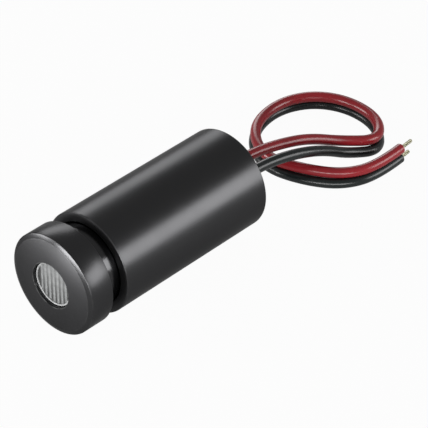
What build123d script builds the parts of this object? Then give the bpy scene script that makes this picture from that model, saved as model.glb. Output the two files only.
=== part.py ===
from build123d import *
import os
from math import pi, radians, sqrt, tan

# Line laser module, millimetres.
# Y runs along the optical axis from the lens to the leads, Z is up.
# The origin is on the axis, half way along the housing.

# Housing
body_diameter = 9.0
body_length = 16.4
housing_wall = 0.7
body_edge = 0.10
counterbore_relief = 0.4
counterbore_edge = 0.08
thread_relief = 0.6

# Focusing thread and its travel
thread_diameter = 7.0
thread_pitch = 0.5
turns_in = 3
stop_clearance = 0.1

# Focusing head
cap_diameter = 9.0
cap_length = 2.22
cap_bevel_width = 0.42
cap_bevel_depth = 0.18
cap_front_edge = 0.06
cap_back_edge = 0.06
crown_height = 0.12
neck_over_thread = 0.1
neck_entry = 0.5
shank_length = 4.0
shank_wall = 0.7
aperture_diameter = 4.0
mouth_bevel = 0.05
lip_thickness = 0.6
front_pocket_diameter = 5.0
front_pocket_length = 4.32

# Running and seating clearances, on the radius
thread_clearance = 0.05
neck_clearance = 0.05
lens_clearance = 0.03
seat_gap = 0.02

# Line lens
line_lens_thickness = 0.9
rib_pitch = 0.45
rib_count = 8
rib_radius = 0.30
rib_land = 0.15
boss_clearance = 0.05
lens_rim_width = 0.17
lens_rim_rise = 0.06
lens_rim_recess = 0.27
line_ring_length = 0.7
line_ring_bore = 3.8
line_ring_bevel = 0.12

# Collimating lens and its ring
collimator_edge = 0.8
collimator_clear_diameter = 4.2
collimator_front_rise = 0.65
collimator_rear_rise = 0.30
collimator_ring_length = 0.8
collimator_ring_bore = 4.2
ring_slot_width = 0.6
ring_slot_depth = 0.35

# Focusing spring
spring_wire = 0.35
spring_pitch = 0.9
spring_side_clearance = 0.175
spring_grind = 0.1

# Laser diode and its holder
holder_length = 2.8
holder_bore_diameter = 4.3
holder_chamfer = 0.15
header_diameter = 5.6
header_thickness = 1.2
header_seat_depth = 1.6
header_notch_depth = 0.3
header_key_width = 0.6
post_width = 1.15
post_height = 0.8
post_length = 1.3
can_diameter = 3.55
can_flange_diameter = 4.2
can_flange_thickness = 0.2
can_wall = 0.2
can_height = 2.3
window_hole_diameter = 1.6
window_diameter = 2.6
window_thickness = 0.25
submount_width = 0.9
submount_height = 0.25
submount_length = 0.9
chip_width = 0.3
chip_height = 0.12
chip_length = 0.7
photodiode_side = 0.7
photodiode_thickness = 0.2
pin_diameter = 0.45
pin_circle_radius = 1.0
pin_front_length = 0.4
pin_rear_length = 1.8
seal_diameter = 0.95

# Driver board
board_thickness = 0.5
board_side_clearance = 0.1
board_header_gap = 0.7
board_lead_gap = 0.2
board_corner = 0.3
chip_body_length = 1.25
chip_body_width = 2.0
chip_body_height = 0.9
chip_body_bevel = 0.15
chip_standoff = 0.1
chip_pin_gap = 0.775
leg_pitch = 0.65
leg_width = 0.22
leg_thickness = 0.12
leg_foot = 0.28
resistor_length = 1.0
resistor_width = 0.5
resistor_height = 0.35
resistor_pitch = 0.8
capacitor_length = 1.6
capacitor_width = 0.8
capacitor_height = 0.8
capacitor_spread = 2.1
diode_body_length = 1.7
diode_body_width = 1.25
diode_body_height = 0.95
solder_radius = 0.42
solder_height = 0.36
solder_inset = 0.03

# Rear plug and leads
plug_length = 1.3
plug_recess = 0.3
plug_edge = 0.1
plug_clearance = 0.02
lead_diameter = 0.95
lead_spacing = 1.8
lead_hole_clearance = 0.03
lead_start = 2.0
core_diameter = 0.34
red_tip_length = 1.6
black_tip_length = 1.3
tip_bevel = 0.04
inner_end_length = 0.8
lead_straight = 0.9
lead_gap = 0.03

# Places along the axis
body_radius = body_diameter / 2
front_y = -body_length / 2
rear_y = body_length / 2
travel_in = turns_in * thread_pitch
cap_gap = travel_in + stop_clearance
cap_back_y = front_y - cap_gap
cap_front_y = cap_back_y - cap_length
face_rim_y = cap_front_y - cap_bevel_depth
crown_y = face_rim_y - crown_height
lip_back_y = crown_y + lip_thickness
front_pocket_end_y = lip_back_y + front_pocket_length
neck_end_y = front_y + neck_entry
shank_end_y = neck_end_y + shank_length
counterbore_end_y = neck_end_y + travel_in + counterbore_relief
rear_bore_y = shank_end_y + travel_in + thread_relief
lens_back_y = lip_back_y + line_lens_thickness
collimator_back_y = front_pocket_end_y + collimator_edge
collimator_ring_end_y = collimator_back_y + collimator_ring_length
holder_end_y = rear_bore_y + holder_length
header_front_y = holder_end_y - header_seat_depth
header_back_y = header_front_y + header_thickness
can_front_y = header_front_y - can_height
board_front_y = header_back_y + board_header_gap
lead_start_y = rear_y - lead_start
board_back_y = lead_start_y - board_lead_gap
board_top_z = -pin_diameter / 2
board_bottom_z = board_top_z - board_thickness
pin_end_y = header_back_y + pin_rear_length
chip_board_y = pin_end_y + chip_pin_gap + chip_body_length / 2
plug_back_y = rear_y - plug_recess
bench_z = -body_radius


def turned(outline):
    """The face of a closed outline of (radius, place along the axis) points."""
    with BuildSketch(Plane.XY) as section:
        with BuildLine():
            Polyline(*outline, close=True)
        make_face()
    return section.sketch


def block(low, high):
    """A box between two opposite corners, for the part under way."""
    centre = [(a + b) / 2 for a, b in zip(low, high)]
    size = [b - a for a, b in zip(low, high)]
    with Locations(tuple(centre)):
        Box(*size)


os.makedirs("parts", exist_ok=True)


def keep(part, name):
    """Label a finished piece and write it to its own file."""
    part.label = name
    export_step(part, f"parts/{name}.step")


# Housing: a tube with a plain counterbore, the focusing thread and a wider rear bore
thread_bore_radius = thread_diameter / 2
neck_radius = thread_bore_radius + neck_over_thread
counterbore_radius = neck_radius + neck_clearance
rear_bore_radius = body_radius - housing_wall

with BuildPart() as housing:
    revolve(
        turned(
            [
                (counterbore_radius + counterbore_edge, front_y),
                (body_radius - body_edge, front_y),
                (body_radius, front_y + body_edge),
                (body_radius, rear_y - body_edge),
                (body_radius - body_edge, rear_y),
                (rear_bore_radius + body_edge, rear_y),
                (rear_bore_radius, rear_y - body_edge),
                (rear_bore_radius, rear_bore_y),
                (thread_bore_radius, rear_bore_y),
                (thread_bore_radius, counterbore_end_y),
                (counterbore_radius, counterbore_end_y),
                (counterbore_radius, front_y + counterbore_edge),
            ]
        ),
        axis=Axis.Y,
    )
keep(housing.part, "housing")

# Focusing head: cap with a crowned face and a wide bevel, neck and screw shank, open right through
cap_radius = cap_diameter / 2
aperture_radius = aperture_diameter / 2
front_pocket_radius = front_pocket_diameter / 2
shank_radius = thread_bore_radius - thread_clearance
rear_pocket_radius = thread_bore_radius - shank_wall

with BuildPart() as focus_head:
    revolve(
        turned(
            [
                (aperture_radius, crown_y + mouth_bevel),
                (aperture_radius + mouth_bevel, crown_y),
                (cap_radius - cap_bevel_width, face_rim_y),
                (cap_radius, cap_front_y),
                (cap_radius, cap_back_y - cap_back_edge),
                (cap_radius - cap_back_edge, cap_back_y),
                (neck_radius, cap_back_y),
                (neck_radius, neck_end_y),
                (shank_radius, neck_end_y),
                (shank_radius, shank_end_y),
                (rear_pocket_radius, shank_end_y),
                (rear_pocket_radius, front_pocket_end_y),
                (front_pocket_radius, front_pocket_end_y),
                (front_pocket_radius, lip_back_y),
                (aperture_radius, lip_back_y),
            ]
        ),
        axis=Axis.Y,
    )
    front_rim = (
        focus_head.edges()
        .filter_by(GeomType.CIRCLE)
        .filter_by(lambda edge: abs(edge.radius - cap_radius) < 1e-6)
        .sort_by(Axis.Y)[0]
    )
    fillet(front_rim, radius=cap_front_edge)
keep(focus_head.part, "focus_head")

# Line lens: a flange behind the lip, and in the aperture a raised rim round upright half-round ribs
rib_sagitta = rib_radius - sqrt(rib_radius**2 - (rib_pitch / 2) ** 2)
boss_radius = aperture_radius - boss_clearance
rim_inner_radius = boss_radius - lens_rim_width
rim_shoulder_y = crown_y + lens_rim_recess + lens_rim_rise
rib_root_y = lip_back_y - rib_land
ribs_half_width = rib_count * rib_pitch / 2

with BuildPart() as line_lens:
    with BuildSketch(Plane.XY):
        with BuildLine():
            for number in range(rib_count):
                left = -ribs_half_width + number * rib_pitch
                SagittaArc((left, rib_root_y), (left + rib_pitch, rib_root_y), -rib_sagitta)
            Polyline(
                (ribs_half_width, rib_root_y),
                (ribs_half_width, lens_back_y),
                (-ribs_half_width, lens_back_y),
                (-ribs_half_width, rib_root_y),
            )
        make_face()
    extrude(amount=front_pocket_radius, both=True)
    with Locations(Location((0, 0, 0), (90, 0, 0))):
        Cylinder(boss_radius, 4 * body_length, mode=Mode.INTERSECT)
    with BuildSketch(Plane.XY):
        with BuildLine():
            SagittaArc((rim_inner_radius, rim_shoulder_y), (boss_radius, rim_shoulder_y), -lens_rim_rise)
            Polyline(
                (boss_radius, rim_shoulder_y),
                (boss_radius, lens_back_y),
                (rim_inner_radius, lens_back_y),
                (rim_inner_radius, rim_shoulder_y),
            )
        make_face()
    revolve(axis=Axis.Y)
    with BuildSketch(Plane.XZ.offset(-lens_back_y)):
        Circle(front_pocket_radius - lens_clearance)
    extrude(amount=line_lens_thickness)
keep(line_lens.part, "line_lens")

# Ring behind the line lens
with BuildPart() as line_lens_ring:
    with BuildSketch(Plane.XZ.offset(-lens_back_y)):
        Circle(front_pocket_radius)
        Circle(line_ring_bore / 2, mode=Mode.SUBTRACT)
    extrude(amount=-line_ring_length)
    chamfer(line_lens_ring.edges().group_by(Axis.Y)[-1], length=line_ring_bevel)
keep(line_lens_ring.part, "line_lens_ring")

# Collimating lens: flat rim with a steep front dome and a shallow rear one
collimator_radius = rear_pocket_radius - lens_clearance
clear_radius = collimator_clear_diameter / 2

with BuildPart() as collimating_lens:
    with BuildSketch(Plane.XY):
        with BuildLine():
            TangentArc(
                (0, front_pocket_end_y - collimator_front_rise),
                (clear_radius, front_pocket_end_y),
                tangent=(1, 0),
            )
            Polyline(
                (clear_radius, front_pocket_end_y),
                (collimator_radius, front_pocket_end_y),
                (collimator_radius, collimator_back_y),
                (clear_radius, collimator_back_y),
            )
            TangentArc(
                (0, collimator_back_y + collimator_rear_rise),
                (clear_radius, collimator_back_y),
                tangent=(1, 0),
            )
            Line(
                (0, collimator_back_y + collimator_rear_rise),
                (0, front_pocket_end_y - collimator_front_rise),
            )
        make_face()
    revolve(axis=Axis.Y)
keep(collimating_lens.part, "collimating_lens")

# Collimator ring: screwed in behind the lens, with two slots for a spanner
with BuildPart() as collimator_ring:
    with BuildSketch(Plane.XZ.offset(-collimator_back_y)):
        Circle(rear_pocket_radius)
        Circle(collimator_ring_bore / 2, mode=Mode.SUBTRACT)
    extrude(amount=-collimator_ring_length)
    with Locations((0, collimator_ring_end_y, 0)):
        Box(2 * body_diameter, 2 * ring_slot_depth, ring_slot_width, mode=Mode.SUBTRACT)
keep(collimator_ring.part, "collimator_ring")

# Focusing spring: open coil of wire with eight flats, its ends ground
spring_front_y = collimator_ring_end_y + seat_gap
spring_back_y = rear_bore_y - seat_gap
spring_radius = rear_pocket_radius - spring_side_clearance - spring_wire / 2

with BuildPart() as focus_spring:
    with BuildLine():
        Helix(
            pitch=spring_pitch,
            height=spring_back_y - spring_front_y + 2 * spring_grind,
            radius=spring_radius,
            center=(0, spring_front_y - spring_grind, 0),
            direction=(0, 1, 0),
        )
    coil = focus_spring.pending_edges[0]
    with BuildSketch(Plane(origin=coil @ 0, x_dir=(0, 1, 0), z_dir=coil % 0)):
        RegularPolygon(spring_wire / 2, 8)
    sweep(is_frenet=True)
    split(bisect_by=Plane(origin=(0, spring_front_y, 0), z_dir=(0, 1, 0)), keep=Keep.TOP)
    split(bisect_by=Plane(origin=(0, spring_back_y, 0), z_dir=(0, 1, 0)), keep=Keep.BOTTOM)
keep(focus_spring.part, "focus_spring")

# Diode holder: heat-sink ring with a stepped seat for the header
with BuildPart() as diode_holder:
    revolve(
        turned(
            [
                (holder_bore_diameter / 2, rear_bore_y),
                (rear_bore_radius, rear_bore_y),
                (rear_bore_radius, holder_end_y - holder_chamfer),
                (rear_bore_radius - holder_chamfer, holder_end_y),
                (header_diameter / 2 + holder_chamfer, holder_end_y),
                (header_diameter / 2, holder_end_y - holder_chamfer),
                (header_diameter / 2, header_front_y),
                (holder_bore_diameter / 2, header_front_y),
            ]
        ),
        axis=Axis.Y,
    )
keep(diode_holder.part, "diode_holder")

# Diode pins: two insulated ones level with the axis, one ground pin below
insulated_pins = [(-pin_circle_radius, 0), (pin_circle_radius, 0)]
ground_pin = (0, -pin_circle_radius)

with BuildPart() as diode_pins:
    with BuildSketch(Plane.XZ.offset(-pin_end_y)):
        with Locations(*insulated_pins):
            Circle(pin_diameter / 2)
    extrude(amount=pin_end_y - header_front_y + pin_front_length)
    with BuildSketch(Plane.XZ.offset(-pin_end_y)):
        with Locations(ground_pin):
            Circle(pin_diameter / 2)
    extrude(amount=pin_end_y - header_back_y)
keep(diode_pins.part, "diode_pins")

# Glass beads round the insulated pins
with BuildPart() as diode_glass_seals:
    with BuildSketch(Plane.XZ.offset(-header_back_y)):
        with Locations(*insulated_pins):
            Circle(seal_diameter / 2)
        with Locations(*insulated_pins):
            Circle(pin_diameter / 2, mode=Mode.SUBTRACT)
    extrude(amount=header_thickness)
keep(diode_glass_seals.part, "diode_glass_seals")

# Diode header: notched disc with the heat-sink post in front of it
post_top_z = -chip_height - submount_height
chip_front_y = header_front_y - post_length

with BuildPart() as diode_header:
    with BuildSketch(Plane.XZ.offset(-header_back_y)):
        Circle(header_diameter / 2)
        with Locations(*insulated_pins):
            Circle(seal_diameter / 2, mode=Mode.SUBTRACT)
        with Locations((0, header_diameter / 2)):
            Rectangle(header_key_width, 2 * header_notch_depth, mode=Mode.SUBTRACT)
        with PolarLocations(header_diameter / 2, 2):
            RegularPolygon(header_notch_depth, 3, rotation=180, mode=Mode.SUBTRACT)
    extrude(amount=header_thickness)
    block(
        (-post_width / 2, chip_front_y, post_top_z - post_height),
        (post_width / 2, header_front_y, post_top_z),
    )
keep(diode_header.part, "diode_header")

# Chip carrier and laser chip, which lies on the axis
with BuildPart() as submount:
    block(
        (-submount_width / 2, chip_front_y, post_top_z),
        (submount_width / 2, chip_front_y + submount_length, -chip_height),
    )
keep(submount.part, "submount")

with BuildPart() as laser_chip:
    block(
        (-chip_width / 2, chip_front_y, -chip_height),
        (chip_width / 2, chip_front_y + chip_length, 0),
    )
keep(laser_chip.part, "laser_chip")

# Monitor photodiode, on the header above the post
with BuildPart() as monitor_photodiode:
    block(
        (-photodiode_side / 2, header_front_y - photodiode_thickness, pin_diameter / 2),
        (photodiode_side / 2, header_front_y, pin_diameter / 2 + photodiode_side),
    )
keep(monitor_photodiode.part, "monitor_photodiode")

# Diode can: thin flanged cup with a window hole
can_radius = can_diameter / 2
with BuildPart() as diode_cap:
    revolve(
        turned(
            [
                (window_hole_diameter / 2, can_front_y),
                (can_radius, can_front_y),
                (can_radius, header_front_y - can_flange_thickness),
                (can_flange_diameter / 2, header_front_y - can_flange_thickness),
                (can_flange_diameter / 2, header_front_y),
                (can_radius - can_wall, header_front_y),
                (can_radius - can_wall, can_front_y + can_wall),
                (window_hole_diameter / 2, can_front_y + can_wall),
            ]
        ),
        axis=Axis.Y,
    )
keep(diode_cap.part, "diode_cap")

# Window, inside the end of the can
with BuildPart() as diode_window:
    with BuildSketch(Plane.XZ.offset(-can_front_y - can_wall)):
        Circle(window_diameter / 2)
    extrude(amount=-window_thickness)
keep(diode_window.part, "diode_window")

# Driver board: lies on the ground pin and under the two insulated ones
board_half_width = sqrt(rear_bore_radius**2 - board_bottom_z**2) - board_side_clearance
with BuildPart() as driver_board:
    block(
        (-board_half_width, board_front_y, board_bottom_z),
        (board_half_width, board_back_y, board_top_z),
    )
    chamfer(driver_board.edges().filter_by(Axis.Z), length=board_corner)
keep(driver_board.part, "driver_board")

# Driver chip with three legs on each side
with BuildPart() as driver_chip:
    block(
        (
            -chip_body_width / 2,
            chip_board_y - chip_body_length / 2,
            board_top_z + chip_standoff,
        ),
        (
            chip_body_width / 2,
            chip_board_y + chip_body_length / 2,
            board_top_z + chip_standoff + chip_body_height,
        ),
    )
    chamfer(driver_chip.faces().sort_by(Axis.Z)[-1].edges(), length=chip_body_bevel)
keep(driver_chip.part, "driver_chip")

leg_root_z = board_top_z + chip_standoff + chip_body_height / 2
with BuildPart() as driver_chip_legs:
    for side in (-1, 1):
        for step in (-1, 0, 1):
            centre_x = step * leg_pitch
            body_side_y = chip_board_y + side * chip_body_length / 2
            with BuildSketch(Plane.YZ.offset(centre_x - leg_width / 2)):
                with BuildLine():
                    Polyline(
                        (body_side_y, leg_root_z),
                        (body_side_y + side * leg_foot / 2, leg_root_z),
                        (body_side_y + side * leg_foot / 2, board_top_z + leg_thickness),
                        (body_side_y + side * 3 * leg_foot / 2, board_top_z + leg_thickness),
                        (body_side_y + side * 3 * leg_foot / 2, board_top_z),
                        (body_side_y + side * (leg_foot / 2 - leg_thickness), board_top_z),
                        (
                            body_side_y + side * (leg_foot / 2 - leg_thickness),
                            leg_root_z - leg_thickness,
                        ),
                        (body_side_y, leg_root_z - leg_thickness),
                        close=True,
                    )
                make_face()
            extrude(amount=leg_width)
keep(driver_chip_legs.part, "driver_chip_legs")

# Resistors: a row of three to the left of the chip
resistor_x = -(chip_body_width + board_half_width * 2) / 4
with BuildPart() as resistors:
    with Locations((resistor_x, chip_board_y, board_top_z + resistor_height / 2)):
        with GridLocations(resistor_pitch, resistor_pitch, 1, 3):
            Box(resistor_length, resistor_width, resistor_height)
keep(resistors.part, "resistors")

# Capacitors, under the board, one each side
with BuildPart() as capacitors:
    with Locations((0, chip_board_y, board_bottom_z - capacitor_height / 2)):
        with GridLocations(2 * capacitor_spread, 1, 2, 1):
            Box(capacitor_width, capacitor_length, capacitor_height)
keep(capacitors.part, "capacitors")

# Protection diode, under the middle of the board
with BuildPart() as protection_diode:
    with Locations((0, chip_board_y, board_bottom_z - diode_body_height / 2)):
        Box(diode_body_length, diode_body_width, diode_body_height)
    chamfer(protection_diode.faces().sort_by(Axis.Z)[0].edges(), length=chip_body_bevel)
keep(protection_diode.part, "protection_diode")

# Rear plug with a hole for each lead
lead_x = lead_spacing / 2
lead_radius = lead_diameter / 2
with BuildPart() as rear_plug:
    with BuildSketch(Plane.XZ.offset(-plug_back_y)):
        Circle(rear_bore_radius - plug_clearance)
        with Locations((-lead_x, 0), (lead_x, 0)):
            Circle(lead_radius + lead_hole_clearance, mode=Mode.SUBTRACT)
    extrude(amount=plug_length)
    plug_rim = rear_plug.faces().sort_by(Axis.Y)[-1].outer_wire().edges()
    chamfer(plug_rim, length=plug_edge)
keep(rear_plug.part, "rear_plug")

# Inner ends of the leads, bare wire on the board
core_radius = core_diameter / 2
with BuildPart() as lead_inner_ends:
    with BuildSketch(Plane.XZ.offset(-lead_start_y)):
        with Locations((-lead_x, 0), (lead_x, 0)):
            Circle(core_radius)
    extrude(amount=inner_end_length)
keep(lead_inner_ends.part, "lead_inner_ends")

# Solder: a dome at each pin and at each bare wire, cut to the wire it holds
pin_solder_y = (board_front_y + pin_end_y) / 2
wire_solder_y = board_back_y - solder_inset - solder_radius
top_joints = [
    (-pin_circle_radius, pin_solder_y, board_top_z),
    (pin_circle_radius, pin_solder_y, board_top_z),
    (-lead_x, wire_solder_y, board_top_z),
    (lead_x, wire_solder_y, board_top_z),
]
with BuildPart() as solder_joints:
    with Locations(*top_joints):
        Cone(
            solder_radius,
            solder_radius / 2,
            solder_height,
            align=(Align.CENTER, Align.CENTER, Align.MIN),
        )
    with Locations(Location((0, pin_solder_y, board_bottom_z), (180, 0, 0))):
        Cone(
            solder_radius,
            solder_radius / 2,
            solder_height,
            align=(Align.CENTER, Align.CENTER, Align.MIN),
        )
    with BuildSketch(Plane.XZ.offset(-pin_end_y)):
        with Locations(*insulated_pins, ground_pin):
            Circle(pin_diameter / 2)
    extrude(amount=pin_end_y - header_back_y, mode=Mode.SUBTRACT)
    with BuildSketch(Plane.XZ.offset(-lead_start_y)):
        with Locations((-lead_x, 0), (lead_x, 0)):
            Circle(core_radius)
    extrude(amount=inner_end_length, mode=Mode.SUBTRACT)
keep(solder_joints.part, "solder_joints")

# Leads: out of the plug side by side, down to the bench, and round one loop with red on black
on_bench_z = bench_z + lead_radius
on_lead_z = on_bench_z + lead_diameter + lead_gap

black_points = [
    (lead_x, lead_start_y, 0),
    (lead_x, rear_y + lead_straight, 0),
    (1.0, 12.4, -0.1),
    (1.45, 15.7, -0.6),
    (1.75, 18.8, -1.7),
    (2.15, 21.7, -3.3),
    (3.25, 24.85, on_bench_z),
    (0.6, 27.6, on_bench_z),
    (-3.15, 28.15, on_bench_z),
    (-6.2, 26.75, on_bench_z),
    (-7.75, 23.7, on_bench_z),
    (-7.25, 20.0, on_bench_z),
    (-5.2, 17.3, on_bench_z),
    (-2.25, 15.95, on_bench_z),
    (1.3, 16.7, on_bench_z),
    (4.25, 18.5, on_bench_z),
    (5.5, 21.65, on_bench_z),
    (5.25, 25.1, on_bench_z),
]
red_points = [
    (-lead_x, lead_start_y, 0),
    (-lead_x, rear_y + lead_straight, 0),
    (-0.9, 12.3, -0.05),
    (-0.5, 15.5, -0.45),
    (0.15, 18.6, -1.1),
    (1.15, 21.8, -2.5),
    (3.05, 24.8, on_lead_z),
    (0.85, 27.45, on_lead_z),
    (-2.95, 27.95, on_lead_z),
    (-5.95, 26.55, on_lead_z),
    (-7.45, 23.65, on_lead_z),
    (-7.05, 20.0, on_lead_z),
    (-5.15, 17.4, on_lead_z),
    (-2.25, 16.0, on_lead_z),
    (1.2, 16.95, on_lead_z),
    (4.15, 18.65, on_lead_z),
    (5.5, 21.65, on_lead_z),
    (5.25, 25.1, on_lead_z),
]


def bend_radii(points):
    """The largest tangent arc that the two runs at each corner leave room for."""
    found = []
    for before, corner, after in zip(points, points[1:], points[2:]):
        into = Vector(*corner) - Vector(*before)
        out = Vector(*after) - Vector(*corner)
        half_turn = radians(into.get_angle(out)) / 2
        found.append(0.45 * min(into.length, out.length) / tan(half_turn))
    return found


def report_lead(name, points, radii, path_length, volume):
    """Print the bends of a lead and how its volume compares with its section."""
    section = pi * lead_radius**2
    print(name, "bend radii", [round(radius, 2) for radius in radii])
    print(name, "length", round(path_length, 2), "volume over section", round(volume / section, 2))


def tip_plane(points, along):
    """The plane of a lead's far end, moved along its last run."""
    last = Vector(*points[-1])
    run = (last - Vector(*points[-2])).normalized()
    return Plane(origin=last + run * along, z_dir=run)


black_radii = bend_radii(black_points)
with BuildPart() as black_lead:
    with BuildLine() as black_route:
        FilletPolyline(*black_points, radius=black_radii)
    with BuildSketch(Plane(origin=black_points[0], z_dir=(0, 1, 0))):
        Circle(lead_radius)
    sweep()
keep(black_lead.part, "black_lead")
report_lead(
    "black lead", black_points, black_radii, black_route.wires()[0].length, black_lead.part.volume
)

red_radii = bend_radii(red_points)
with BuildPart() as red_lead:
    with BuildLine() as red_route:
        FilletPolyline(*red_points, radius=red_radii)
    with BuildSketch(Plane(origin=red_points[0], z_dir=(0, 1, 0))):
        Circle(lead_radius)
    sweep()
keep(red_lead.part, "red_lead")
report_lead("red lead", red_points, red_radii, red_route.wires()[0].length, red_lead.part.volume)

# Stripped and tinned ends
with BuildPart() as black_lead_tip:
    with BuildSketch(tip_plane(black_points, 0)):
        Circle(core_radius)
    extrude(amount=black_tip_length)
    chamfer(black_lead_tip.edges().sort_by(Axis.Y)[-1], length=tip_bevel)
keep(black_lead_tip.part, "black_lead_tip")

with BuildPart() as red_lead_tip:
    with BuildSketch(tip_plane(red_points, 0)):
        Circle(core_radius)
    extrude(amount=red_tip_length)
    chamfer(red_lead_tip.edges().sort_by(Axis.Y)[-1], length=tip_bevel)
keep(red_lead_tip.part, "red_lead_tip")
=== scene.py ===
import math

import bmesh
import bpy
from bpy.props import FloatProperty, FloatVectorProperty, IntProperty, PointerProperty
from bpy.types import Operator, Panel, PropertyGroup
from mathutils import Matrix, Vector


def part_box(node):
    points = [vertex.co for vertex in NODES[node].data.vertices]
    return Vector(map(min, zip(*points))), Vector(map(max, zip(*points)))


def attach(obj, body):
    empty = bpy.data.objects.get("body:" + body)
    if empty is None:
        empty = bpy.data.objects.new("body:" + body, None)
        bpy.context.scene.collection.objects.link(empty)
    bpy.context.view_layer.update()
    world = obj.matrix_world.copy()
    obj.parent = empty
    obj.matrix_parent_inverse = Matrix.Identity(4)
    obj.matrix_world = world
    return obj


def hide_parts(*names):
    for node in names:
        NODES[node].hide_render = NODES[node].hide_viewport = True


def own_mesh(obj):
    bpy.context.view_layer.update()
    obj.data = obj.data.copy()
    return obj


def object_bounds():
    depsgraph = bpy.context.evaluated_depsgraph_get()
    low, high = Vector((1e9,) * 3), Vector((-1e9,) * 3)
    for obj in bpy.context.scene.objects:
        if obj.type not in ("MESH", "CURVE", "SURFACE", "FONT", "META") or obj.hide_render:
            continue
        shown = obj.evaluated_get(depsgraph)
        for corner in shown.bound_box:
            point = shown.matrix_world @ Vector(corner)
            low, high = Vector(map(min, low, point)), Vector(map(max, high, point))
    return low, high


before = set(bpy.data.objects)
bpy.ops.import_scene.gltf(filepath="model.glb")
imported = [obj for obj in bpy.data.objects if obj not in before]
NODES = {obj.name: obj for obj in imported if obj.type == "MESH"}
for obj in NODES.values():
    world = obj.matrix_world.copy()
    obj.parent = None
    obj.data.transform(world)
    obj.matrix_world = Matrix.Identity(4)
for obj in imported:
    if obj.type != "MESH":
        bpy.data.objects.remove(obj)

bl_info = {
    "name": "Laser diode module",
    "version": (1, 0, 0),
    "blender": (4, 5, 0),
    "location": "3D View > Sidebar > Laser",
    "description": "Builds the looks of a line laser module round its packed solids",
    "category": "Object",
}

CAD_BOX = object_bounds()
MM = 0.001

HOUSING_LOW, HOUSING_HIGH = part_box("housing")
HEAD_LOW, HEAD_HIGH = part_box("focus_head")
LENS_LOW, LENS_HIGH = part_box("line_lens")

# Sizes in metres that the frame's boxes don't give

HEAD_LIP = 0.6 * MM
RED_STRIPPED = 1.6 * MM
BLACK_STRIPPED = 1.3 * MM
CORE_DIAMETER = 0.345 * MM
LAY_LENGTH = 14.0 * MM

# Share of the dye that is worn off a rim, and the strength of a painted highlight on a rim

FAINT_WEAR = 0.08
# Full strength: a painted highlight on the rim of the head's opening
PAINTED_HIGHLIGHT_RIM = 1.0

# Camera, in degrees and metres

CAMERA_AZIMUTH = 42.853
CAMERA_ELEVATION = 35.663
CAMERA_PLACE = (0.107205, -0.108923, 0.110122)

# Heights of the leads where they lie on the bench and on each other, and their routes

BENCH_Z = -0.004025
ON_LEAD_Z = -0.003045

BLACK_ROUTE = (
    (0.0009, 0.0062, 0.0),
    (0.0009, 0.0091, 0.0),
    (0.0010, 0.0124, -0.0001),
    (0.00145, 0.0157, -0.0006),
    (0.00175, 0.0188, -0.0017),
    (0.00215, 0.0217, -0.0033),
    (0.00325, 0.02485, BENCH_Z),
    (0.0006, 0.0276, BENCH_Z),
    (-0.00315, 0.02815, BENCH_Z),
    (-0.0062, 0.02675, BENCH_Z),
    (-0.00775, 0.0237, BENCH_Z),
    (-0.00725, 0.0200, BENCH_Z),
    (-0.0052, 0.0173, BENCH_Z),
    (-0.00225, 0.01595, BENCH_Z),
    (0.0013, 0.0167, BENCH_Z),
    (0.00425, 0.0185, BENCH_Z),
    (0.0055, 0.02165, BENCH_Z),
    (0.00525, 0.0251, BENCH_Z),
)
RED_ROUTE = (
    (-0.0009, 0.0062, 0.0),
    (-0.0009, 0.0091, 0.0),
    (-0.0009, 0.0123, -0.00005),
    (-0.0005, 0.0155, -0.00045),
    (0.00015, 0.0186, -0.0011),
    (0.00115, 0.0218, -0.0025),
    (0.00305, 0.0248, ON_LEAD_Z),
    (0.00085, 0.02745, ON_LEAD_Z),
    (-0.00295, 0.02795, ON_LEAD_Z),
    (-0.00595, 0.02655, ON_LEAD_Z),
    (-0.00745, 0.02365, ON_LEAD_Z),
    (-0.00705, 0.0200, ON_LEAD_Z),
    (-0.00515, 0.0174, ON_LEAD_Z),
    (-0.00225, 0.0160, ON_LEAD_Z),
    (0.0012, 0.01695, ON_LEAD_Z),
    (0.00415, 0.01865, ON_LEAD_Z),
    (0.0055, 0.02165, ON_LEAD_Z),
    (0.00525, 0.0251, ON_LEAD_Z),
)


class LaserSizes(PropertyGroup):
    """Sizes of the pieces that are made here"""

    barrel_radius: FloatProperty(
        name="Barrel radius",
        description="Radius of the housing and of the focusing head",
        default=HOUSING_HIGH.x,
        subtype="DISTANCE",
        unit="LENGTH",
        precision=5,
    )
    neck_radius: FloatProperty(
        name="Neck radius",
        description="Radius of the plain neck behind the cap",
        default=3.6 * MM,
        subtype="DISTANCE",
        unit="LENGTH",
        precision=5,
    )
    aperture_radius: FloatProperty(
        name="Aperture radius",
        description="Radius of the round opening in front of the line lens",
        default=2.0 * MM,
        subtype="DISTANCE",
        unit="LENGTH",
        precision=5,
    )
    lead_diameter: FloatProperty(
        name="Lead diameter",
        description="Outside diameter of the insulation",
        default=0.95 * MM,
        subtype="DISTANCE",
        unit="LENGTH",
        precision=5,
    )
    strand_diameter: FloatProperty(
        name="Strand diameter",
        description="Diameter of one copper strand in a stripped lead end",
        default=0.112 * MM,
        subtype="DISTANCE",
        unit="LENGTH",
        precision=6,
    )
    rib_pitch: FloatProperty(
        name="Rib pitch",
        description="Distance between two ribs of the line lens",
        default=0.45 * MM,
        subtype="DISTANCE",
        unit="LENGTH",
        precision=6,
    )
    rib_radius: FloatProperty(
        name="Rib radius",
        description="Radius of the round front of a rib of the line lens",
        default=0.30 * MM,
        subtype="DISTANCE",
        unit="LENGTH",
        precision=6,
    )
    rib_count: IntProperty(
        name="Rib count",
        description="Number of ribs on the line lens",
        default=8,
        min=1,
        max=8,
    )
    turning_steps: IntProperty(
        name="Turning steps",
        description="Steps round a turned piece",
        default=144,
        min=24,
        max=256,
    )


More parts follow.
